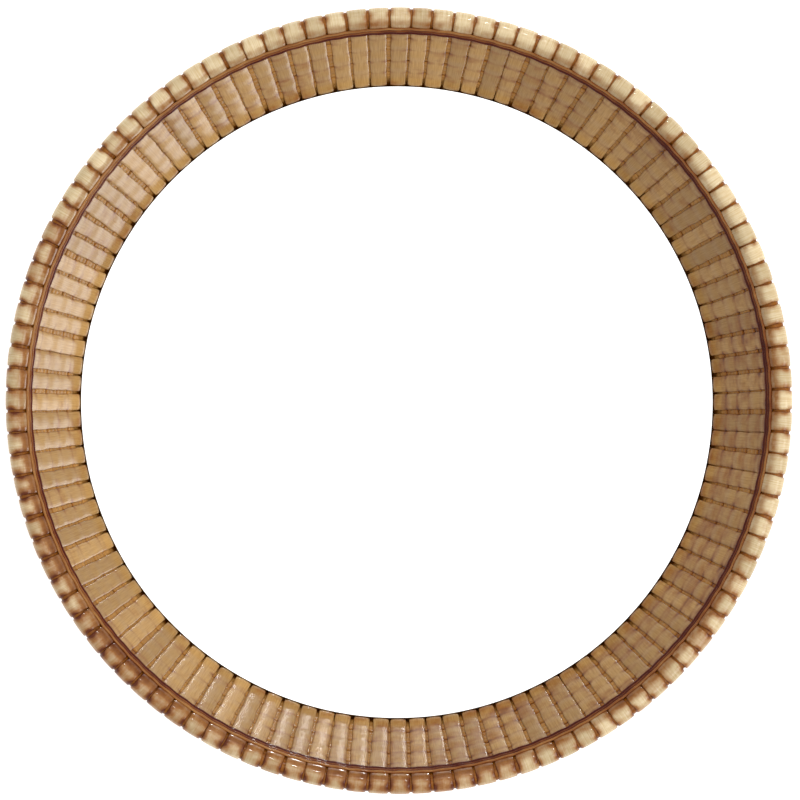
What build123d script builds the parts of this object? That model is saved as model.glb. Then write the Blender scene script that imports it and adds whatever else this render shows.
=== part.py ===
from build123d import *
import os
from math import cos, degrees, radians, sin, sqrt, tan

# Round winnowing basket of split bamboo and cane, with a mirror plate laid on its woven floor.
# Millimetres and degrees. +Z is up. The origin is the centre of the circle that the basket stands on.

# Overall sizes
rim_diameter = 500.0  # over the wrapped rim
inside_depth = 91.0  # from the top of the rim down to the mirror's face
wall_flare = 20.0  # how far the wall leans out from upright

# How many of each
splints_each_way = 28  # in the floor mat; both ends of each one split into an inner and an outer stake
weaver_rows = 5
strand_rows = 3
lath_count = 4
lashings_per_lath = 5
foot_lashing_count = 16
pad_count = 8

# Gaps
seat_gap = 0.2  # between pieces that lie against each other
edge_gap = 0.5  # around the mat and the plates, inside the wall
splint_gap = 0.7  # between neighbouring floor splints
weaver_gap = 1.0  # between neighbouring weaver rows

# Wall
stake_width = 11.0
stake_thickness = 1.4
outer_stake_width = 5.6
outer_stake_thickness = 1.0
weaver_thickness = 1.4
base_hoop_thickness = 3.0
base_hoop_height = 9.0

# Rim
hoop_thickness = 4.2
hoop_height = 11.0
wrap_width = 11.6
wrap_thickness = 1.0
wrap_inner_leg = 2.5
strand_diameter = 2.4

# Foot and floor
foot_hoop_width = 8.0
foot_hoop_height = 5.0
splint_thickness = 1.0
lath_width = 12.0
lath_thickness = 2.5
lashing_width = 5.0
lashing_thickness = 0.8
lashing_inset = 12.0  # from the end of the shortest lath to the middle of its last lashing

# Mirror
pad_diameter = 30.0
pad_thickness = 1.0
pad_inset = 40.0  # from the board's edge to the middle of a pad
board_thickness = 3.0
glass_thickness = 4.0
glass_arris = 0.5

# Levels, from the ground up
mat_low_z = foot_hoop_height + seat_gap
mat_high_z = mat_low_z + splint_thickness + seat_gap
pad_z = mat_high_z + splint_thickness + seat_gap
board_z = pad_z + pad_thickness + seat_gap
glass_z = board_z + board_thickness + seat_gap
basket_height = glass_z + glass_thickness + inside_depth

# Distances across the wall, outward from the middle of the inner stakes
stake_out = stake_thickness / 2
weaver_in = stake_out + seat_gap
weaver_out = weaver_in + weaver_thickness
outer_stake_in = weaver_out + seat_gap
outer_stake_out = outer_stake_in + outer_stake_thickness
hoop_in = stake_out + seat_gap
hoop_out = hoop_in + hoop_thickness
wrap_in = hoop_out + seat_gap
crown_radius = wrap_in + wrap_thickness

# The rim's crown is a half round about this ring, at the top of the stakes
crown_ring_radius = rim_diameter / 2 - crown_radius
crown_z = basket_height - crown_radius

stake_count = 4 * splints_each_way
stake_pitch = 360 / stake_count
quarter_names = ["back_right", "back_left", "front_left", "front_right"]


def wall_point(down, out):
    """Radius and height of a point down the slope from the crown's centre, and out across the wall."""
    flare = radians(wall_flare)
    radius = crown_ring_radius - down * sin(flare) + out * cos(flare)
    return (radius, crown_z - down * cos(flare) - out * sin(flare))


def wall_radius(height, out):
    """Radius at a height of the sloping surface that lies out across the wall."""
    flare = radians(wall_flare)
    return crown_ring_radius - (crown_z - height) * tan(flare) + out / cos(flare)


def band_corners(low_z, high_z, near, far):
    """Corners of a level-cut band of the wall, between two distances across it."""
    return [
        (wall_radius(low_z, near), low_z),
        (wall_radius(low_z, far), low_z),
        (wall_radius(high_z, far), high_z),
        (wall_radius(high_z, near), high_z),
    ]


def save(builder, name):
    """Labels a finished piece and writes it as the node of that name."""
    builder.part.label = name
    export_step(builder.part, f"parts/{name}.step")


os.makedirs("parts", exist_ok=True)

# ---- Foot: the hoop that the basket stands on, with a notch under each lashing ----

foot_outer_radius = wall_radius(mat_low_z, stake_out)
foot_inner_radius = foot_outer_radius - foot_hoop_width
foot_lashing_pitch = 360 / foot_lashing_count
foot_lashing_arc = degrees(lashing_width / foot_outer_radius)
notch_arc = degrees((lashing_width + 2 * seat_gap) / foot_outer_radius)
notch_depth = lashing_thickness + 2 * seat_gap
loop_inner_radius = foot_inner_radius - seat_gap - lashing_thickness
loop_outer_radius = foot_outer_radius + seat_gap + lashing_thickness

with BuildPart() as notch:
    with BuildSketch(Plane.XZ):
        with Locations((loop_inner_radius, 0)):
            Rectangle(loop_outer_radius - loop_inner_radius, notch_depth, align=(Align.MIN, Align.MIN))
    revolve(axis=Axis.Z, revolution_arc=notch_arc)

with BuildPart() as foot_hoop:
    with BuildSketch(Plane.XZ):
        with Locations((foot_inner_radius, 0)):
            Rectangle(foot_hoop_width, foot_hoop_height, align=(Align.MIN, Align.MIN))
    revolve(axis=Axis.Z)
    with PolarLocations(0, foot_lashing_count, start_angle=(foot_lashing_pitch - notch_arc) / 2):
        add(notch.part, mode=Mode.SUBTRACT)
save(foot_hoop, "foot_hoop")

with BuildPart() as foot_loop:
    with BuildSketch(Plane.XZ):
        with Locations((loop_inner_radius, seat_gap)):
            Rectangle(
                loop_outer_radius - loop_inner_radius,
                foot_hoop_height - seat_gap,
                align=(Align.MIN, Align.MIN),
            )
        with Locations((foot_inner_radius - seat_gap, seat_gap + lashing_thickness)):
            Rectangle(
                foot_hoop_width + 2 * seat_gap,
                foot_hoop_height,
                align=(Align.MIN, Align.MIN),
                mode=Mode.SUBTRACT,
            )
    revolve(axis=Axis.Z, revolution_arc=foot_lashing_arc)

with BuildPart() as foot_lashings:
    with PolarLocations(0, foot_lashing_count, start_angle=(foot_lashing_pitch - foot_lashing_arc) / 2):
        add(foot_loop.part)
save(foot_lashings, "foot_lashings")

# ---- Floor: laths under the mat, their lashings, and the two layers of splints ----

lath_reach = foot_inner_radius - edge_gap
lath_spacing = 2 * lath_reach / (lath_count + 1)
lath_z = foot_hoop_height - lath_thickness
lath_offsets = [(i - (lath_count - 1) / 2) * lath_spacing for i in range(lath_count)]


def lath_half_length(offset):
    """Half of a lath's length, so that its corners stay inside the foot hoop."""
    return sqrt(lath_reach**2 - (abs(offset) + lath_width / 2) ** 2)


for number, offset in enumerate(lath_offsets, start=1):
    with BuildPart() as lath:
        with BuildSketch(Plane.XY.offset(lath_z)):
            with Locations((0, offset)):
                Rectangle(2 * lath_half_length(offset), lath_width)
        extrude(amount=lath_thickness)
    save(lath, f"floor_lath_{number}")

lashing_reach = lath_half_length(lath_offsets[0]) - lashing_inset
lashing_spacing = 2 * lashing_reach / (lashings_per_lath - 1)
lashing_z = lath_z - seat_gap - lashing_thickness

with BuildPart() as lath_lashings:
    for step in range(lashings_per_lath):
        with BuildSketch(Plane.YZ.offset(step * lashing_spacing - lashing_reach)):
            with Locations([(offset, lashing_z) for offset in lath_offsets]):
                Rectangle(
                    lath_width + 2 * (seat_gap + lashing_thickness),
                    foot_hoop_height - lashing_z,
                    align=(Align.CENTER, Align.MIN),
                )
            with Locations([(offset, lashing_z + lashing_thickness) for offset in lath_offsets]):
                Rectangle(
                    lath_width + 2 * seat_gap,
                    foot_hoop_height,
                    align=(Align.CENTER, Align.MIN),
                    mode=Mode.SUBTRACT,
                )
        extrude(amount=lashing_width / 2, both=True)
save(lath_lashings, "lath_lashings")

mat_radius = wall_radius(mat_low_z, -stake_out) - edge_gap
splint_pitch = 2 * mat_radius / splints_each_way
splint_width = splint_pitch - splint_gap

with BuildPart() as floor_splints_crosswise:
    with BuildSketch(Plane.XY.offset(mat_low_z)):
        with GridLocations(splint_pitch, 0, splints_each_way, 1):
            Rectangle(splint_width, 2 * mat_radius)
        Circle(mat_radius, mode=Mode.INTERSECT)
    extrude(amount=splint_thickness)
save(floor_splints_crosswise, "floor_splints_crosswise")

with BuildPart() as floor_splints_lengthwise:
    with BuildSketch(Plane.XY.offset(mat_high_z)):
        with GridLocations(0, splint_pitch, 1, splints_each_way):
            Rectangle(2 * mat_radius, splint_width)
        Circle(mat_radius, mode=Mode.INTERSECT)
    extrude(amount=splint_thickness)
save(floor_splints_lengthwise, "floor_splints_lengthwise")

# ---- Mirror: adhesive pads, backing board and glass plate ----

board_radius = wall_radius(board_z, -stake_out) - edge_gap
glass_radius = wall_radius(glass_z, -stake_out) - edge_gap

with BuildPart() as mirror_pads:
    with BuildSketch(Plane.XY.offset(pad_z)):
        with PolarLocations(board_radius - pad_inset, pad_count):
            Circle(pad_diameter / 2)
    extrude(amount=pad_thickness)
save(mirror_pads, "mirror_pads")

with BuildPart() as mirror_board:
    with BuildSketch(Plane.XY.offset(board_z)):
        Circle(board_radius)
    extrude(amount=board_thickness)
save(mirror_board, "mirror_board")

with BuildPart() as mirror_glass:
    with BuildSketch(Plane.XY.offset(glass_z)):
        Circle(glass_radius)
    extrude(amount=glass_thickness)
    chamfer(mirror_glass.edges().group_by(Axis.Z)[-1], length=glass_arris)
save(mirror_glass, "mirror_glass")

# ---- Wall: weaver rows between inner and outer stakes, and the base hoop round its foot ----

stake_arc = degrees(stake_width / crown_ring_radius)

with BuildPart() as stake:
    with BuildSketch(Plane.XZ):
        with BuildLine():
            Polyline(
                (wall_radius(mat_low_z, -stake_out), mat_low_z),
                (wall_radius(mat_low_z, stake_out), mat_low_z),
                wall_point(seat_gap, stake_out),
                wall_point(seat_gap, -stake_out),
                close=True,
            )
        make_face()
    revolve(axis=Axis.Z, revolution_arc=stake_arc)

for quarter, quarter_name in enumerate(quarter_names):
    first_angle = 90 * quarter - stake_arc / 2
    with BuildPart() as inner_stakes:
        with PolarLocations(0, splints_each_way, start_angle=first_angle, angular_range=90):
            add(stake.part)
    save(inner_stakes, f"inner_stakes_{quarter_name}")

base_hoop_z = mat_low_z + seat_gap
weaver_low_z = base_hoop_z + base_hoop_height + seat_gap
weaver_high_z = wall_point(hoop_height, hoop_out)[1] - seat_gap
weaver_pitch = (weaver_high_z - weaver_low_z) / weaver_rows

with BuildPart() as base_hoop:
    with BuildSketch(Plane.XZ):
        with BuildLine():
            Polyline(
                *band_corners(
                    base_hoop_z,
                    base_hoop_z + base_hoop_height,
                    weaver_in,
                    weaver_in + base_hoop_thickness,
                ),
                close=True,
            )
        make_face()
    revolve(axis=Axis.Z)
save(base_hoop, "base_hoop")

for row in range(weaver_rows):
    row_low_z = weaver_low_z + row * weaver_pitch
    row_high_z = row_low_z + weaver_pitch - weaver_gap
    with BuildPart() as weaver:
        with BuildSketch(Plane.XZ):
            with BuildLine():
                Polyline(*band_corners(row_low_z, row_high_z, weaver_in, weaver_out), close=True)
            make_face()
        revolve(axis=Axis.Z)
    save(weaver, f"wall_weaver_{row + 1}")

outer_stake_arc = degrees(outer_stake_width / crown_ring_radius)

with BuildPart() as outer_stake:
    with BuildSketch(Plane.XZ):
        with BuildLine():
            Polyline(
                (wall_radius(weaver_low_z, outer_stake_in), weaver_low_z),
                (wall_radius(weaver_low_z, outer_stake_out), weaver_low_z),
                wall_point(hoop_height + seat_gap, outer_stake_out),
                wall_point(hoop_height + seat_gap, outer_stake_in),
                close=True,
            )
        make_face()
    revolve(axis=Axis.Z, revolution_arc=outer_stake_arc)

for quarter, quarter_name in enumerate(quarter_names):
    first_angle = 90 * quarter + (stake_pitch - outer_stake_arc) / 2
    with BuildPart() as outer_stakes:
        with PolarLocations(0, splints_each_way, start_angle=first_angle, angular_range=90):
            add(outer_stake.part)
    save(outer_stakes, f"outer_stakes_{quarter_name}")

# ---- Rim: two hoops, the core cane on top, the wraps over them, and the binding strands ----


def rim_hoop(name, near, far):
    """A hoop against one face of the stakes, square to the wall."""
    with BuildPart() as hoop:
        with BuildSketch(Plane.XZ):
            with BuildLine():
                Polyline(
                    wall_point(0, near),
                    wall_point(0, far),
                    wall_point(hoop_height, far),
                    wall_point(hoop_height, near),
                    close=True,
                )
            make_face()
        revolve(axis=Axis.Z)
    save(hoop, name)


rim_hoop("rim_hoop_outer", hoop_in, hoop_out)
rim_hoop("rim_hoop_inner", -hoop_in, -hoop_out)

with BuildPart() as rim_core:
    with BuildSketch(Plane.XZ):
        with BuildLine():
            ThreePointArc(
                wall_point(-seat_gap, hoop_out),
                wall_point(-seat_gap - hoop_out, 0),
                wall_point(-seat_gap, -hoop_out),
            )
            Line(wall_point(-seat_gap, -hoop_out), wall_point(-seat_gap, hoop_out))
        make_face()
    revolve(axis=Axis.Z)
save(rim_core, "rim_core_cane")

wrap_arc = degrees(wrap_width / crown_ring_radius)
wrap_core = wrap_in + seat_gap

with BuildPart() as wrap:
    with BuildSketch(Plane.XZ):
        with BuildLine():
            Line(wall_point(hoop_height, crown_radius), wall_point(0, crown_radius))
            ThreePointArc(
                wall_point(0, crown_radius),
                wall_point(-crown_radius, 0),
                wall_point(0, -crown_radius),
            )
            Polyline(
                wall_point(0, -crown_radius),
                wall_point(wrap_inner_leg, -crown_radius),
                wall_point(wrap_inner_leg, -wrap_in),
                wall_point(0, -wrap_in),
            )
            ThreePointArc(
                wall_point(0, -wrap_in),
                wall_point(-wrap_core, 0),
                wall_point(0, wrap_in),
            )
            Polyline(
                wall_point(0, wrap_in),
                wall_point(hoop_height, wrap_in),
                wall_point(hoop_height, crown_radius),
            )
        make_face()
    revolve(axis=Axis.Z, revolution_arc=wrap_arc)

for quarter, quarter_name in enumerate(quarter_names):
    first_angle = 90 * quarter - wrap_arc / 2
    with BuildPart() as rim_wraps:
        with PolarLocations(0, splints_each_way, start_angle=first_angle, angular_range=90):
            add(wrap.part)
    save(rim_wraps, f"rim_wraps_{quarter_name}")

strand_radius = strand_diameter / 2
strand_pitch = strand_diameter + seat_gap


def rim_strand(name, down, out):
    """A round strand laid right round the basket."""
    with BuildPart() as strand:
        with BuildSketch(Plane.XZ):
            with Locations(wall_point(down, out)):
                Circle(strand_radius)
        revolve(axis=Axis.Z)
    save(strand, name)


for number in range(strand_rows):
    strand_down = wrap_inner_leg + seat_gap + strand_radius + number * strand_pitch
    rim_strand(f"rim_strand_{number + 1}", strand_down, -(hoop_out + seat_gap + strand_radius))

outer_strand_down = hoop_height + seat_gap + strand_radius
rim_strand("rim_strand_outer", outer_strand_down, outer_stake_out + seat_gap + strand_radius)
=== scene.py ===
import math
import random

import bpy
from mathutils import Matrix, Vector

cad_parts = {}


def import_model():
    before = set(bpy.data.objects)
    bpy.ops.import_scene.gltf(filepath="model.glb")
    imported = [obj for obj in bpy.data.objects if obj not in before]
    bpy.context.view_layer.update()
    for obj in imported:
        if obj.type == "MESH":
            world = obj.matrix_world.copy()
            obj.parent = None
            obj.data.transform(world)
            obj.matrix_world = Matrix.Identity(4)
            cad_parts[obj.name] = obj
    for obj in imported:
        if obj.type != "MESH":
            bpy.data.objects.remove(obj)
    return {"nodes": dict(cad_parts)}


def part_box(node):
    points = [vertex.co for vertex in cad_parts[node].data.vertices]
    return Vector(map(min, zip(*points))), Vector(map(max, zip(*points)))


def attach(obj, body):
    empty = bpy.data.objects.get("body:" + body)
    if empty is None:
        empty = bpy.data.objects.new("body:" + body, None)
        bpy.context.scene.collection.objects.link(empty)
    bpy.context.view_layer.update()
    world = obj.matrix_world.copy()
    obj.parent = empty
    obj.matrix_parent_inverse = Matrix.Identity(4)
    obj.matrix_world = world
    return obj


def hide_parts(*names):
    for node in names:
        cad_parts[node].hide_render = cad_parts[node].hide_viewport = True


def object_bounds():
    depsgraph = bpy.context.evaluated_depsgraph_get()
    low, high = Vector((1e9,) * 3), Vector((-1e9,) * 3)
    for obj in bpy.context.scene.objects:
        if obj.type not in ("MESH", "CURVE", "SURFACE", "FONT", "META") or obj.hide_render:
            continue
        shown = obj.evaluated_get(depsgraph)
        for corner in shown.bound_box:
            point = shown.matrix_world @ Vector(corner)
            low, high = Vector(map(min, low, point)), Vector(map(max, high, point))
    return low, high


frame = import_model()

# A round winnowing basket of split bamboo and cane, seen straight into its mouth. Metres and radians.

cad_low, cad_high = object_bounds()
rng = random.Random(4)

MM = 0.001
PIECES_ROUND = 112  # inner stakes, outer stakes and rim wraps
WEAVER_ROWS = 5
STRAND_ROWS = 3
QUARTERS = ["back_right", "back_left", "front_left", "front_right"]
PITCH = 2 * math.pi / PIECES_ROUND

# ---- The wall's slope, read from the frame ----


def ring_of(node):
    """Outer radius at the top of a ring-shaped node, and its lowest and highest levels."""
    low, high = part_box(node)
    return (high[0] - low[0]) / 2, low[2], high[2]


bottom_radius, _, bottom_top = ring_of("wall_weaver_1")
top_radius, _, top_top = ring_of(f"wall_weaver_{WEAVER_ROWS}")
FLARE = math.atan2(top_radius - bottom_radius, top_top - bottom_top)
CROWN_RADIUS = 6.3 * MM
CROWN_RING = (cad_high[0] - cad_low[0]) / 2 - CROWN_RADIUS
CROWN_Z = cad_high[2] - CROWN_RADIUS
HOOP_HEIGHT = 11 * MM
MIRROR_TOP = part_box("mirror_glass")[1][2]
MAT_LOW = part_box("floor_splints_crosswise")[0][2]


def wall_rz(down, out):
    """Radius and height of a point down the slope from the crown's centre and out across the wall."""
    radius = CROWN_RING - down * math.sin(FLARE) + out * math.cos(FLARE)
    return radius, CROWN_Z - down * math.cos(FLARE) - out * math.sin(FLARE)


def down_at(height):
    """How far down the slope the middle of the wall reaches a height."""
    return (CROWN_Z - height) / math.cos(FLARE)


def wall_frame(angle, down, out, lean=0.0):
    """Point, round direction, outward normal and up-slope direction at a place on the wall."""
    radius, height = wall_rz(down, out)
    radial = Vector((math.cos(angle), math.sin(angle), 0))
    round_way = Vector((-math.sin(angle), math.cos(angle), 0))
    tilt = FLARE + lean
    outward = radial * math.cos(tilt) - Vector((0, 0, math.sin(tilt)))
    up_slope = radial * math.sin(tilt) + Vector((0, 0, math.cos(tilt)))
    return radial * radius + Vector((0, 0, height)), round_way, outward, up_slope


# ---- Mesh building ----

FLAT_SPLINT = [
    (-1, 0.1), (-0.88, 0.68), (-0.5, 0.95), (0, 1), (0.5, 0.95), (0.88, 0.68),
    (1, 0.1), (0.93, -0.7), (0.6, -1), (-0.6, -1), (-0.93, -0.7),
]  # fmt: skip
DOMED_SPLINT = [
    (-1, -0.35), (-0.95, 0.1), (-0.8, 0.5), (-0.5, 0.83), (0, 1), (0.5, 0.83), (0.8, 0.5),
    (0.95, 0.1), (1, -0.35), (0.9, -0.9), (0, -0.95), (-0.9, -0.9),
]  # fmt: skip
RIDGED_SPLINT = [
    (-1, 0.1), (-0.94, 0.75), (-0.7, 1), (-0.42, 0.9), (-0.34, 0.45), (-0.26, 0.9), (0.1, 1),
    (0.38, 0.88), (0.46, 0.5), (0.54, 0.88), (0.8, 0.98), (0.95, 0.7), (1, 0.1), (0.95, -0.8), (-0.95, -0.8),
]  # fmt: skip
ROUND_STRAND = [(math.cos(k * math.pi / 4), math.sin(k * math.pi / 4)) for k in range(8)]
MAT_SPLINT = [(-1, -0.6), (-0.9, 0.8), (0, 1), (0.9, 0.8), (1, -0.6), (0, -0.9)]


class Weave:
    """Collects swept strips, with the grain's coordinates and a tint for each, into one mesh."""

    def __init__(self):
        self.points = []
        self.faces = []
        self.grain = []
        self.tints = []
        self.stains_and_shades = []

    def strip(self, frames, section, half_width, half_thick, closed=False, tint=None, stain_and_shade=0.0, edge_stain_and_shade=0.5):
        """Sweeps a section along (point, across, normal) frames.

        The half sizes, the darkening value and its edge share may be lists, one value for each frame. The darkening
        value holds real staining and painted shade together; it runs from 0, clean, through 1, amber, to 2, the colour
        of a deep crevice. The edge share is added towards the strip's two edges.
        """
        count = len(frames)
        sides = len(section)
        first = len(self.points)
        tint = rng.random() if tint is None else tint
        shift = rng.random() * 10
        along = 0.0
        run = []
        for k, (point, across, normal) in enumerate(frames):
            if k:
                along += (point - frames[k - 1][0]).length
            run.append(along)
            width = half_width[k] if isinstance(half_width, list) else half_width
            thick = half_thick[k] if isinstance(half_thick, list) else half_thick
            darkening_here = stain_and_shade[k] if isinstance(stain_and_shade, list) else stain_and_shade
            edge = edge_stain_and_shade[k] if isinstance(edge_stain_and_shade, list) else edge_stain_and_shade
            for a, b in section:
                self.points.append(point + across * (a * width) + normal * (b * thick))
                self.tints.append(tint)
                self.stains_and_shades.append(darkening_here + edge * abs(a) ** 2.5)
        girth = half_width[0] if isinstance(half_width, list) else half_width
        for k in range(count if closed else count - 1):
            after = (k + 1) % count
            step = run[after] if after else run[k] + (frames[0][0] - frames[k][0]).length
            for j in range(sides):
                n = (j + 1) % sides
                self.faces.append(
                    (first + k * sides + j, first + k * sides + n, first + after * sides + n, first + after * sides + j)
                )
                u0, u1 = run[k] + shift, step + shift
                v0, v1 = section[j][0] * girth, section[n][0] * girth
                self.grain.append(((u0, v0), (u0, v1), (u1, v1), (u1, v0)))
        if not closed:
            for k in (0, count - 1):
                ring = [first + k * sides + j for j in range(sides)]
                self.faces.append(tuple(reversed(ring)) if k == 0 else tuple(ring))
                self.grain.append(tuple((run[k] + shift, section[j][0] * girth) for j in range(sides)))

    def finish(self, name, material, slot, *nodes):
        """Makes the object, which rides on the one body and stands for the CAD nodes named."""
        mesh = bpy.data.meshes.new(name)
        mesh.from_pydata([tuple(p) for p in self.points], [], self.faces)
        layer = mesh.uv_layers.new(name="Grain")
        flat = [value for face in self.grain for corner in face for value in corner]
        layer.data.foreach_set("uv", flat)
        tint = mesh.attributes.new("tint", "FLOAT", "POINT")
        tint.data.foreach_set("value", self.tints)
        stain_and_shade = mesh.attributes.new("stain_and_shade", "FLOAT", "POINT")
        stain_and_shade.data.foreach_set("value", self.stains_and_shades)
        mesh.polygons.foreach_set("use_smooth", [True] * len(mesh.polygons))
        mesh.validate()
        mesh.update()
        thing = bpy.data.objects.new(name, mesh)
        bpy.context.collection.objects.link(thing)
        thing.data.materials.append(material)
        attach(thing, "root")
        if nodes:
            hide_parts(*nodes)
        return thing


def smooth(value):
    """Eases 0 to 1."""
    value = min(1.0, max(0.0, value))
    return value * value * (3 - 2 * value)


# ---- Materials ----


def srgb(red, green, blue):
    """A colour given in 0 to 255 steps, as linear light."""

    def linear(step):
        step /= 255
        return step / 12.92 if step <= 0.04045 else ((step + 0.055) / 1.055) ** 2.4

    return (linear(red), linear(green), linear(blue), 1)


def nodes_of(name):
    """A new material, its node tree and its shader."""
    material = bpy.data.materials.new(name)
    material.use_nodes = True
    tree = material.node_tree
    return material, tree, tree.nodes["Principled BSDF"]


def add_node(tree, kind, **settings):
    """A new node, with each setting put on the input or the property of that name."""
    node = tree.nodes.new(kind)
    for key, value in settings.items():
        if key in node.inputs:
            node.inputs[key].default_value = value
        else:
            setattr(node, key, value)
    return node


def ramp(tree, source, stops):
    """A colour ramp with (place, colour) stops."""
    node = tree.nodes.new("ShaderNodeValToRGB")
    items = node.color_ramp.elements
    items[0].position, items[0].color = stops[0]
    items[1].position, items[1].color = stops[-1]
    for place, colour in stops[1:-1]:
        items.new(place).color = colour
    tree.links.new(source, node.inputs["Fac"])
    return node.outputs["Color"]


def mixed(tree, factor, first, second, mode="MIX"):
    """Mixes two colours, each a socket or a value."""
    node = tree.nodes.new("ShaderNodeMix")
    node.data_type = "RGBA"
    node.blend_type = mode
    for socket, value in ((node.inputs[0], factor), (node.inputs[6], first), (node.inputs[7], second)):
        if isinstance(value, (int, float, tuple)):
            socket.default_value = value
        else:
            tree.links.new(value, socket)
    return node.outputs[2]


def scaled(tree, source, low, high, to_low, to_high):
    """Maps a value from one range to another, held within it."""
    node = tree.nodes.new("ShaderNodeMapRange")
    for name, value in (("From Min", low), ("From Max", high), ("To Min", to_low), ("To Max", to_high)):
        node.inputs[name].default_value = value
    tree.links.new(source, node.inputs["Value"])
    return node.outputs["Result"]


def summed(tree, first, second):
    """Adds two values."""
    node = tree.nodes.new("ShaderNodeMath")
    node.operation = "ADD"
    tree.links.new(first, node.inputs[0])
    tree.links.new(second, node.inputs[1])
    return node.outputs[0]


def cane(name, light, dark, amber, crevice, coat=0.4, gloss=0.25, crevice_shade=0.6, reach=2.5 * MM, grain=True, patch=0.45):
    """Varnished split cane or bamboo.

    It has streaks along the strip, a tint for each strip, and amber varnish in patches and towards the edges. The
    darkening value, which holds real staining and painted shade, turns it amber and then deep brown, and ambient
    occlusion darkens it in crevices as painted shade.
    """
    material, tree, shader = nodes_of(name)
    link = tree.links.new
    body = add_node(tree, "ShaderNodeTexCoord").outputs["Object"]
    place = add_node(tree, "ShaderNodeUVMap", uv_map="Grain").outputs["UV"] if grain else body
    streak_space = add_node(tree, "ShaderNodeMapping", Scale=(60, 1400, 1) if grain else (90, 90, 900))
    link(place, streak_space.inputs["Vector"])
    streaks = add_node(tree, "ShaderNodeTexNoise", Scale=1.0, Detail=4.0, Roughness=0.6)
    link(streak_space.outputs["Vector"], streaks.inputs["Vector"])
    blotch = add_node(tree, "ShaderNodeTexNoise", Scale=95.0, Detail=4.0, Roughness=0.6)
    link(body, blotch.inputs["Vector"])
    drift = add_node(tree, "ShaderNodeTexNoise", Scale=14.0, Detail=2.0, Roughness=0.5)
    link(body, drift.inputs["Vector"])
    colour = ramp(tree, streaks.outputs["Fac"], [(0.32, dark), (0.62, light)])
    tint = add_node(tree, "ShaderNodeAttribute", attribute_name="tint")
    value = ramp(tree, tint.outputs["Fac"], [(0.0, (0.78, 0.74, 0.66, 1)), (1.0, (1.08, 1.06, 1.02, 1))])
    colour = mixed(tree, 1.0, colour, value, "MULTIPLY")
    # Painted shade: ambient occlusion darkens the colour in crevices and between close parts.
    hollow = add_node(tree, "ShaderNodeAmbientOcclusion", samples=8, Distance=reach)
    occlusion_shade = scaled(tree, hollow.outputs["AO"], 0.3, 0.95, crevice_shade, 0.0)
    stain_and_shade = add_node(tree, "ShaderNodeAttribute", attribute_name="stain_and_shade")
    patchy = summed(tree, stain_and_shade.outputs["Fac"], scaled(tree, blotch.outputs["Fac"], 0.3, 0.7, -patch, patch))
    patchy = summed(tree, patchy, scaled(tree, drift.outputs["Fac"], 0.35, 0.65, -0.3, 0.3))
    patchy = summed(tree, patchy, occlusion_shade)
    colour = mixed(tree, scaled(tree, patchy, 0.0, 1.0, 0.0, 0.85), colour, amber)
    colour = mixed(tree, scaled(tree, patchy, 0.9, 1.9, 0.0, 0.95), colour, crevice)
    link(colour, shader.inputs["Base Color"])
    shader.inputs["Roughness"].default_value = 0.6
    shader.inputs["Specular IOR Level"].default_value = 0.05
    shader.inputs["Coat Weight"].default_value = coat
    shader.inputs["Coat Roughness"].default_value = gloss
    bump = add_node(tree, "ShaderNodeBump", Strength=0.4, Distance=0.25 * MM)
    link(streaks.outputs["Fac"], bump.inputs["Height"])
    link(bump.outputs["Normal"], shader.inputs["Normal"])
    return material


# Amber varnish tone and the deepest colour; the darkening value also uses both to paint shade in the groove, under the
# rim wraps and on one side.
AMBER = srgb(156, 90, 18)
CREVICE_STAIN_AND_SHADE = srgb(94, 34, 4)
cane_wrap = cane("cane_wrap", srgb(230, 212, 176), srgb(210, 182, 134), AMBER, CREVICE_STAIN_AND_SHADE, coat=0.7, gloss=0.08, crevice_shade=0.25)
inner_bamboo = cane(
    "inner_bamboo", srgb(208, 168, 104), srgb(184, 136, 70), AMBER, CREVICE_STAIN_AND_SHADE, coat=0.8, gloss=0.3, crevice_shade=0.35, patch=0.65
)
outer_bamboo = cane("outer_bamboo", srgb(200, 152, 84), srgb(166, 114, 48), AMBER, CREVICE_STAIN_AND_SHADE)
weaver_bamboo = cane("weaver_bamboo", srgb(196, 146, 78), srgb(172, 118, 50), AMBER, CREVICE_STAIN_AND_SHADE, crevice_shade=0.35)
# The strands' amber and deepest colours mostly paint the shade in the groove under the rim.
strand_cane = cane(
    "strand_cane", srgb(186, 134, 76), srgb(146, 88, 38), srgb(130, 62, 10), srgb(78, 10, 0), coat=0.45, gloss=0.1
)
hoop_bamboo = cane("hoop_bamboo", srgb(168, 104, 34), srgb(130, 70, 14), AMBER, CREVICE_STAIN_AND_SHADE, reach=4 * MM, grain=False)
lath_bamboo = cane("lath_bamboo", srgb(188, 140, 78), srgb(146, 96, 44), AMBER, CREVICE_STAIN_AND_SHADE, grain=False)
mat_bamboo = cane("mat_bamboo", srgb(206, 166, 100), srgb(170, 124, 66), AMBER, CREVICE_STAIN_AND_SHADE)


def mirror_face():
    """Silvered glass with a breath of dust on it."""
    material, tree, shader = nodes_of("mirror_face")
    shader.inputs["Base Color"].default_value = (0.95, 0.96, 0.96, 1)
    shader.inputs["Metallic"].default_value = 1.0
    place = add_node(tree, "ShaderNodeTexCoord").outputs["Object"]
    dust = add_node(tree, "ShaderNodeTexNoise", Scale=40.0, Detail=5.0)
    tree.links.new(place, dust.inputs["Vector"])
    gloss = add_node(tree, "ShaderNodeMapRange")
    gloss.inputs["To Min"].default_value = 0.0
    gloss.inputs["To Max"].default_value = 0.03
    tree.links.new(dust.outputs["Fac"], gloss.inputs["Value"])
    tree.links.new(gloss.outputs["Result"], shader.inputs["Roughness"])
    return material


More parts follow.
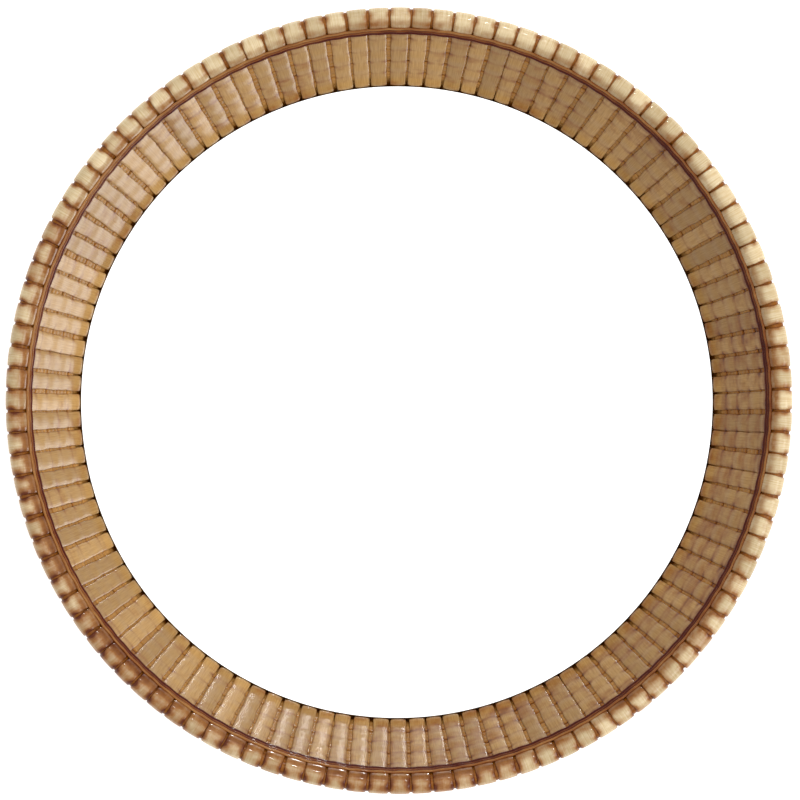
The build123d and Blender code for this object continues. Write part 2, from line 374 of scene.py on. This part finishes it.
def glass_edge():
    """The plate's ground edge, pale green."""
    material, tree, shader = nodes_of("glass_edge")
    place = add_node(tree, "ShaderNodeTexCoord").outputs["Object"]
    mottle = add_node(tree, "ShaderNodeTexNoise", Scale=300.0, Detail=2.0)
    tree.links.new(place, mottle.inputs["Vector"])
    colour = ramp(tree, mottle.outputs["Fac"], [(0.3, srgb(150, 172, 156)), (0.7, srgb(196, 214, 202))])
    tree.links.new(colour, shader.inputs["Base Color"])
    shader.inputs["Roughness"].default_value = 0.3
    return material


def speckled(name, first, second, scale, rough):
    """A matt material with a fine mottle, for the board and the mastic."""
    material, tree, shader = nodes_of(name)
    place = add_node(tree, "ShaderNodeTexCoord").outputs["Object"]
    mottle = add_node(tree, "ShaderNodeTexNoise", Scale=scale, Detail=5.0)
    tree.links.new(place, mottle.inputs["Vector"])
    colour = ramp(tree, mottle.outputs["Fac"], [(0.35, first), (0.65, second)])
    tree.links.new(colour, shader.inputs["Base Color"])
    shader.inputs["Roughness"].default_value = rough
    bump = add_node(tree, "ShaderNodeBump", Strength=0.3, Distance=0.2 * MM)
    tree.links.new(mottle.outputs["Fac"], bump.inputs["Height"])
    tree.links.new(bump.outputs["Normal"], shader.inputs["Normal"])
    return material


board_material = speckled("hardboard", srgb(110, 80, 54), srgb(132, 98, 68), 900.0, 0.8)
mastic_material = speckled("mastic", srgb(196, 190, 176), srgb(216, 210, 196), 200.0, 0.6)


def dress(material, *nodes):
    """Gives CAD nodes that show as they are a finished material."""
    for name in nodes:
        thing = frame["nodes"][name]
        thing.data.materials.clear()
        thing.data.materials.append(material)


# ---- Rim wraps ----

WRAP_MIDDLE = CROWN_RADIUS - 0.6 * MM


def wrap_path():
    """(down, out, lean) places from the outer hoop's foot, over the crown, to under the inner strands."""
    places = [(HOOP_HEIGHT + 0.2 * MM, WRAP_MIDDLE - 1.3 * MM, 0.5)]
    for step in range(5):
        places.append((HOOP_HEIGHT * (0.93 - 0.23 * step), WRAP_MIDDLE, 0.0))
    turns = 12
    for step in range(turns + 1):
        turn = math.pi * step / turns
        places.append((-WRAP_MIDDLE * math.sin(turn), WRAP_MIDDLE * math.cos(turn), turn))
    for down, out in ((1.5, 5.78), (3.0, 5.65), (5.5, 5.6), (9.0, 5.6)):
        places.append((down * MM, -out * MM, math.pi))
    return places


def rim_wraps():
    """The cane strips over the rim, with painted shade that deepens towards the front left, and a dark spot on the
    edges of each.
    """
    path = wrap_path()
    for quarter, name in enumerate(QUARTERS):
        weave = Weave()
        for k in range(PIECES_ROUND // 4):
            middle = 0.5 * math.pi * quarter + k * PITCH + rng.gauss(0, 0.015) * PITCH
            skew = rng.gauss(0.0, 0.03) * PITCH
            width = rng.gauss(6.15, 0.12) * MM
            # Painted shade by side, 0 at the back right and 1 at the front left; it also deepens the edge spots.
            rim_side_shade = 0.5 - 0.5 * math.cos(middle - 0.9)
            frames = []
            widths = []
            stains_and_shades = []
            edges = []
            spot = rng.uniform(1.0, 2.0)
            depth = rng.uniform(0.9, 1.5) + 0.7 * rim_side_shade
            for step, (down, out, turn) in enumerate(path):
                share = step / (len(path) - 1) - 0.5
                angle = middle + skew * share
                point, round_way, outward, up_slope = wall_frame(angle, down, out)
                normal = outward * math.cos(turn) + up_slope * math.sin(turn)
                frames.append((point, round_way, normal))
                widths.append(width * (1 + 0.02 * math.sin(9 * share + k)))
                # Painted shade where the strip turns down outside and goes under the strands inside.
                outer_turn_shade = 0.8 * smooth((0.4 - turn) / 0.3) if down > -4 * MM and out > 0 else 0.0
                stains_and_shades.append(outer_turn_shade + 0.7 * smooth((turn - 2.1) / 0.6) + 0.95 * rim_side_shade - 0.4)
                edges.append(0.35 + depth * math.exp(-(((turn - spot) / 0.55) ** 2)))
            weave.strip(frames, FLAT_SPLINT, widths, 0.6 * MM, stain_and_shade=stains_and_shades, edge_stain_and_shade=edges)
        weave.finish(f"rim_wrap_set_{name}", cane_wrap, "cane_wrap", f"rim_wraps_{name}")


# ---- Binding strands ----


def groove_side_shade(angle):
    """Painted shade by side for the groove under the rim and its strands, from 0 at the back left to 1 at the front
    right.
    """
    return 0.5 - 0.5 * math.cos(angle - 2.7)


def strands():
    """The strands bound round the inside of the rim, and one outside over the ends of the wraps."""
    for row in range(STRAND_ROWS):
        down = (3.9 + 2.6 * row) * MM
        weave = Weave()
        frames = []
        steps = 8
        for k in range(PIECES_ROUND * steps):
            angle = k * PITCH / steps
            lift = 0.5 + 0.5 * math.cos(2 * math.pi * k / steps + (row - 1) * 0.5)
            out = -(6.3 + 0.35 * lift) * MM
            wander = 0.12 * MM * math.sin(7 * angle + row) + 0.05 * MM * math.sin(31 * angle + 2 * row)
            point, round_way, outward, up_slope = wall_frame(angle, down + wander, out)
            frames.append((point, up_slope, -outward))
        # Painted shade: each lower strand is darker, deeper in the groove, and all darken towards the front right.
        stains_and_shades = [1.05 * row + 0.8 * groove_side_shade(k * PITCH / steps) - 0.4 for k in range(len(frames))]
        weave.strip(frames, ROUND_STRAND, 1.22 * MM, 0.8 * MM, closed=True, tint=0.5, stain_and_shade=stains_and_shades, edge_stain_and_shade=0.4)
        weave.finish(f"binding_strand_{row + 1}", strand_cane, "binding_strand", f"rim_strand_{row + 1}")
    weave = Weave()
    frames = []
    steps = 6
    for k in range(PIECES_ROUND * steps):
        angle = k * PITCH / steps
        out = (4.7 + 0.35 * math.cos(2 * math.pi * k / steps)) * MM
        point, round_way, outward, up_slope = wall_frame(angle, 12.4 * MM, out)
        frames.append((point, up_slope, outward))
    weave.strip(frames, ROUND_STRAND, 1.2 * MM, 1.0 * MM, closed=True)
    weave.finish("binding_strand_outer", strand_cane, "binding_strand", "rim_strand_outer")


# ---- Wall ----

rows = []
for number in range(1, WEAVER_ROWS + 1):
    row_low, row_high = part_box(f"wall_weaver_{number}")
    rows.append((row_low[2], row_high[2]))
RIDGE_PITCH = (rows[1][0] - rows[0][0]) / 3
# Painted shadow darkens the wall in the groove under the strands.
GROOVE_SHADOW_END = 24 * MM  # how far down the slope the dark groove under the strands reaches


def groove_shadow(down, angle):
    """The painted shadow in the groove under the strands, which fades out below it."""
    return (0.6 + 0.6 * groove_side_shade(angle)) * (1 - smooth((down - GROOVE_SHADOW_END + 3 * MM) / (5 * MM)))


def stake_press(height, index):
    """How hard an inner stake bears on the weaver rows at a height: over one row, then less over the next."""
    press = 0.0
    for number, (low, high) in enumerate(rows):
        over = 1.0 if (number + index) % 2 else 0.45
        press += over * math.exp(-(((height - (low + high) / 2) / (4.5 * MM)) ** 2))
    return press


def stake_out(height, index):
    """How far out an inner stake's middle lies: it bulges inward over the weaver rows, and laps the plate's edge."""
    above_plate = height - MIRROR_TOP
    lap = 2.1 * smooth((8 * MM - above_plate) / (7 * MM)) * smooth((above_plate + 0.2 * MM) / (0.5 * MM))
    return -(0.5 * stake_press(height, index) + lap) * MM


def wall_side_light(angle):
    """Painted light on the wall by side, which makes it paler: 1 at the back left, 0 at the front right."""
    return 0.5 + 0.5 * math.cos(angle - 2.6)


def inner_stakes():
    """The flat strips inside the weavers, from under the rim to the mat."""
    start, end = 2 * MM, down_at(MAT_LOW)
    steps = 60
    for quarter, name in enumerate(QUARTERS):
        weave = Weave()
        for k in range(PIECES_ROUND // 4):
            index = quarter * PIECES_ROUND // 4 + k
            middle = index * PITCH + rng.gauss(0, 0.035) * PITCH
            sway, phase = rng.gauss(0, 0.03) * PITCH, rng.random() * 6
            top_width = rng.gauss(5.75, 0.2) * MM
            frames = []
            widths = []
            stains_and_shades = []
            edges = []
            for step in range(steps):
                share = step / (steps - 1)
                down = start + (end - start) * share
                height = wall_rz(down, 0)[1]
                angle = middle + sway * math.sin(3 * share + phase)
                point, round_way, outward, up_slope = wall_frame(angle, down, stake_out(height, index))
                frames.append((point, -round_way, -outward))
                widths.append(top_width * (1 - 0.13 * share) * (1 + 0.03 * math.sin(20 * share + phase)))
                # Darker at the row seams, towards the foot, and in faint bands at the ridge pitch.
                seam = sum(math.exp(-(((height - low) / (1.8 * MM)) ** 2)) for low, high in rows)
                foot = smooth((MIRROR_TOP + 16 * MM - height) / (14 * MM))
                ridges = 0.1 * math.cos(2 * math.pi * (height - rows[0][0]) / RIDGE_PITCH)
                # Painted shade where the stake lies back from the rows it bears on.
                under = 0.3 * (1 - stake_press(height, index)) + ridges - 0.1
                # Painted shadow in the groove and painted light at the back left are added here.
                stains_and_shades.append(groove_shadow(down, angle) + 0.2 * seam + under + 0.25 * foot - 0.35 * wall_side_light(angle))
                edges.append(0.1 + 1.0 * seam)
            weave.strip(frames, DOMED_SPLINT, widths, 0.7 * MM, stain_and_shade=stains_and_shades, edge_stain_and_shade=edges)
        weave.finish(f"inner_stake_set_{name}", inner_bamboo, "inner_stake", f"inner_stakes_{name}")


def outer_stakes():
    """The narrow strips outside the weavers, between the inner stakes."""
    low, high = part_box("outer_stakes_back_right")
    start, end = HOOP_HEIGHT - 1 * MM, down_at(low[2])
    steps = 24
    for quarter, name in enumerate(QUARTERS):
        weave = Weave()
        for k in range(PIECES_ROUND // 4):
            index = quarter * PIECES_ROUND // 4 + k
            middle = (index + 0.5) * PITCH + rng.gauss(0, 0.03) * PITCH
            width = rng.gauss(3.0, 0.12) * MM
            frames = []
            for step in range(steps):
                down = start + (end - start) * step / (steps - 1)
                height = wall_rz(down, 0)[1]
                press = sum(math.exp(-(((height - (a + b) / 2) / (4 * MM)) ** 2)) for a, b in rows)
                point, round_way, outward, up_slope = wall_frame(middle, down, (2.9 + 0.25 * press) * MM)
                frames.append((point, round_way, outward))
            weave.strip(frames, DOMED_SPLINT, width, 0.55 * MM)
        weave.finish(f"outer_stake_set_{name}", outer_bamboo, "outer_stake", f"outer_stakes_{name}")


def weavers():
    """The level rows, each pressed inward between the inner stakes."""
    steps = 10
    for number, (low, high) in enumerate(rows):
        weave = Weave()
        frames = []
        middle_down = down_at((low + high) / 2)
        half = (high - low) / math.cos(FLARE) / 2
        phase = rng.random() * 6
        widths = []
        stains_and_shades = []
        for k in range(PIECES_ROUND * steps):
            angle = k * PITCH / steps
            between = 0.5 - 0.5 * math.cos(2 * math.pi * k / steps)
            wander = 0.35 * MM * math.sin(3 * angle + phase) + 0.2 * MM * math.sin(17 * angle + 2 * phase)
            out = (1.75 - 0.75 * between) * MM
            point, round_way, outward, up_slope = wall_frame(angle, middle_down + wander, out)
            frames.append((point, up_slope, -outward))
            widths.append(half * (1.05 + 0.015 * math.sin(5 * angle + phase)))
            # Painted shadow in the groove on the upper rows, and painted light at the back left.
            stains_and_shades.append(groove_shadow(middle_down + half * 0.2, angle) - 0.45 * wall_side_light(angle) - 0.1)
        weave.strip(frames, RIDGED_SPLINT, widths, 0.6 * MM, closed=True, stain_and_shade=stains_and_shades, edge_stain_and_shade=0.9)
        weave.finish(f"weaver_row_{number + 1}", weaver_bamboo, "bamboo_weaver", f"wall_weaver_{number + 1}")


# ---- Floor mat ----


def mat_layer(name, node, lengthwise):
    """One set of the floor's splints, which pass over and under the other set."""
    low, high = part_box("floor_splints_crosswise")
    _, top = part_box("floor_splints_lengthwise")
    radius = (high[1] - low[1]) / 2
    count = PIECES_ROUND // 4
    pitch = 2 * radius / count
    level = (low[2] + top[2]) / 2
    wave = 0.62 * MM
    steps = 6
    weave = Weave()
    for k in range(count):
        side = (k - (count - 1) / 2) * pitch
        reach = math.sqrt(radius**2 - (abs(side) + pitch / 2) ** 2) if abs(side) + pitch / 2 < radius else pitch
        total = max(2, int(2 * reach / pitch * steps))
        frames = []
        for step in range(total + 1):
            along = -reach + 2 * reach * step / total
            sign = 1 if (k % 2 == 0) == lengthwise else -1
            rise = sign * math.cos(math.pi * (along / pitch + (count - 1) / 2)) * wave
            if lengthwise:
                frames.append((Vector((along, side, level + rise)), Vector((0, 1, 0)), Vector((0, 0, -1))))
            else:
                frames.append((Vector((side, along, level + rise)), Vector((1, 0, 0)), Vector((0, 0, -1))))
        weave.strip(frames, MAT_SPLINT, (pitch - 0.9 * MM) / 2, 0.45 * MM)
    weave.finish(name, mat_bamboo, "floor_splint", node)


# ---- Mirror plate ----


def mirror():
    """A round plate with a ground arris. Its face is silvered, and its edge shows pale green."""
    low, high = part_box("mirror_glass")
    radius = (high[0] - low[0]) / 2
    arris = 0.4 * MM
    profile = [
        (radius - arris - 0.2 * MM, high[2]),
        (radius - arris, high[2]),
        (radius, high[2] - arris),
        (radius, low[2]),
    ]
    steps = 256
    points = []
    faces = []
    for ring_radius, level in profile:
        for k in range(steps):
            angle = 2 * math.pi * k / steps
            points.append((ring_radius * math.cos(angle), ring_radius * math.sin(angle), level))
    for ring in range(len(profile) - 1):
        for k in range(steps):
            after = (k + 1) % steps
            faces.append((ring * steps + k, (ring + 1) * steps + k, (ring + 1) * steps + after, ring * steps + after))
    faces.append(tuple(range(steps)))
    last = (len(profile) - 1) * steps
    faces.append(tuple(last + k for k in reversed(range(steps))))
    mesh = bpy.data.meshes.new("mirror_plate")
    mesh.from_pydata(points, [], faces)
    mesh.materials.append(mirror_face())
    mesh.materials.append(glass_edge())
    for number, face in enumerate(mesh.polygons):
        face.material_index = 0 if number < 2 * steps or number >= 3 * steps else 1
    mesh.update()
    plate = bpy.data.objects.new("mirror_plate", mesh)
    bpy.context.collection.objects.link(plate)
    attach(plate, "root")
    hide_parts("mirror_glass")


rim_wraps()
strands()
inner_stakes()
outer_stakes()
weavers()
mat_layer("mat_splints_lengthwise", "floor_splints_lengthwise", True)
mat_layer("mat_splints_crosswise", "floor_splints_crosswise", False)
mirror()
dress(hoop_bamboo, "rim_hoop_outer", "rim_hoop_inner", "rim_core_cane", "base_hoop", "foot_hoop")
dress(lath_bamboo, "floor_lath_1", "floor_lath_2", "floor_lath_3", "floor_lath_4", "lath_lashings", "foot_lashings")
dress(board_material, "mirror_board")
dress(mastic_material, "mirror_pads")

# ---- Floor, lights and camera ----


def ground():
    """A wide pale floor under the foot hoop."""
    half = 6.0
    mesh = bpy.data.meshes.new("ground")
    mesh.from_pydata([(-half, -half, 0), (half, -half, 0), (half, half, 0), (-half, half, 0)], [], [(0, 1, 2, 3)])
    material, tree, shader = nodes_of("pale_floor")
    shader.inputs["Base Color"].default_value = (0.9, 0.9, 0.9, 1)
    shader.inputs["Roughness"].default_value = 0.8
    shader.inputs["Emission Color"].default_value = (1, 1, 1, 1)
    shader.inputs["Emission Strength"].default_value = 0.65
    mesh.materials.append(material)
    floor = bpy.data.objects.new("ground", mesh)
    floor.location.z = cad_low[2] - 0.2 * MM
    bpy.context.collection.objects.link(floor)


def area_light(name, azimuth, elevation, distance, size, radiance):
    """A soft white rectangular light aimed at the basket's mouth. Azimuth is from +X towards +Y, in degrees."""
    turn, rise = math.radians(azimuth), math.radians(elevation)
    way = Vector((math.cos(turn) * math.cos(rise), math.sin(turn) * math.cos(rise), math.sin(rise)))
    data = bpy.data.lights.new(name, "AREA")
    data.shape = "RECTANGLE"
    data.size, data.size_y = size
    data.energy = radiance * math.pi * size[0] * size[1]
    lamp = bpy.data.objects.new(name, data)
    lamp.location = Vector((0, 0, CROWN_Z)) + way * distance
    lamp.rotation_euler = (-way).to_track_quat("-Z", "Y").to_euler()
    bpy.context.collection.objects.link(lamp)


SURROUND_LIGHT = 0.55


def world():
    """A plain surround: white where the camera sees it directly, and dimmer as a light."""
    surround = bpy.data.worlds.new("surround")
    surround.use_nodes = True
    tree = surround.node_tree
    background = tree.nodes["Background"]
    background.inputs["Color"].default_value = (1, 1, 1, 1)
    path = tree.nodes.new("ShaderNodeLightPath")
    strength = tree.nodes.new("ShaderNodeMapRange")
    strength.inputs["To Min"].default_value = SURROUND_LIGHT
    strength.inputs["To Max"].default_value = 1.0
    tree.links.new(path.outputs["Is Camera Ray"], strength.inputs["Value"])
    tree.links.new(strength.outputs["Result"], background.inputs["Strength"])
    bpy.context.scene.world = surround


CAMERA_RISE = 1.85  # above the top of the rim
CAMERA_ASIDE = (-0.036, -0.025)
RIM_SHARE = 0.492  # the rim's radius as a share of the view's width


def camera():
    """Looks down into the mouth, with +Y up in the view, and sets the lens by the rim's size."""
    data = bpy.data.cameras.new("camera")
    data.sensor_width = 36.0
    rim_radius = (cad_high[0] - cad_low[0]) / 2
    data.lens = RIM_SHARE * data.sensor_width * CAMERA_RISE / rim_radius
    eye = bpy.data.objects.new("camera", data)
    eye.location = (CAMERA_ASIDE[0], CAMERA_ASIDE[1], CROWN_Z + CAMERA_RISE)
    aim = (Vector((0, 0, CROWN_Z)) - eye.location).normalized()
    right = aim.cross(Vector((0, 1, 0))).normalized()
    eye.rotation_euler = Matrix((right, right.cross(aim), -aim)).transposed().to_euler()
    bpy.context.collection.objects.link(eye)
    bpy.context.scene.camera = eye


ground()
world()
area_light("overhead", 0, 90, 3.2, (1.9, 1.9), 1.05)
area_light("key", -26, 47, 2.2, (1.6, 1.1), 3.2)
area_light("fill", 80, 44, 2.4, (1.3, 0.9), 1.3)
area_light("window", 74, 42, 2.2, (0.2, 0.16), 70.0)
camera()
bpy.context.scene.view_settings.view_transform = "Standard"
